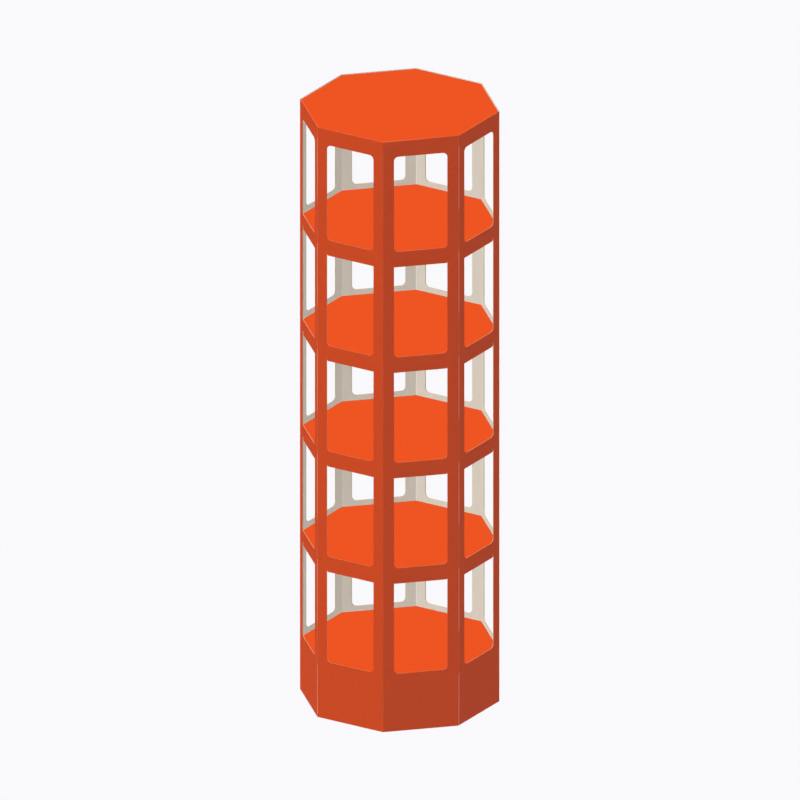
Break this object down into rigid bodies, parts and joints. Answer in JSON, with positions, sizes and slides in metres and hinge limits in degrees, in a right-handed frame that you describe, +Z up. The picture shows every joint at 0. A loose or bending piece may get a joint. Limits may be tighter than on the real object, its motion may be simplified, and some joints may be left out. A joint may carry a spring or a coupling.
{
  "type": "octagonal paperboard tower",
  "caption": "Tall octagonal tower of folded and glued paperboard, with open storeys, rounded windows on every side, tray floors and a flat lid.",
  "frame": {"origin": "centre of the octagonal underside, on the surface that the tower stands on", "axes": "+Z up along the tower's axis, -Y out of the front wall panel, +X to its right"},
  "size_m": [0.1208, 0.1208, 0.4111],
  "materials": {
    "printed_board": "matte",
    "unprinted_board": "matte"
  },
  "bodies": {
    "root": {"wall_front": "printed_board", "wall_front_right": "printed_board", "wall_right": "printed_board", "wall_back_right": "printed_board", "wall_back": "printed_board", "wall_back_left": "printed_board", "wall_left": "printed_board", "wall_front_left": "printed_board", "base_tray": "printed_board", "floor_tray_1": "printed_board", "floor_tray_2": "printed_board", "floor_tray_3": "printed_board", "floor_tray_4": "printed_board", "floor_tray_5": "printed_board", "roof_tray": "printed_board", "seam_tab_1": "unprinted_board", "seam_tab_2": "unprinted_board", "seam_tab_3": "unprinted_board", "seam_tab_4": "unprinted_board", "seam_tab_5": "unprinted_board", "seam_tab_6": "unprinted_board"}
  },
  "joints": []
}
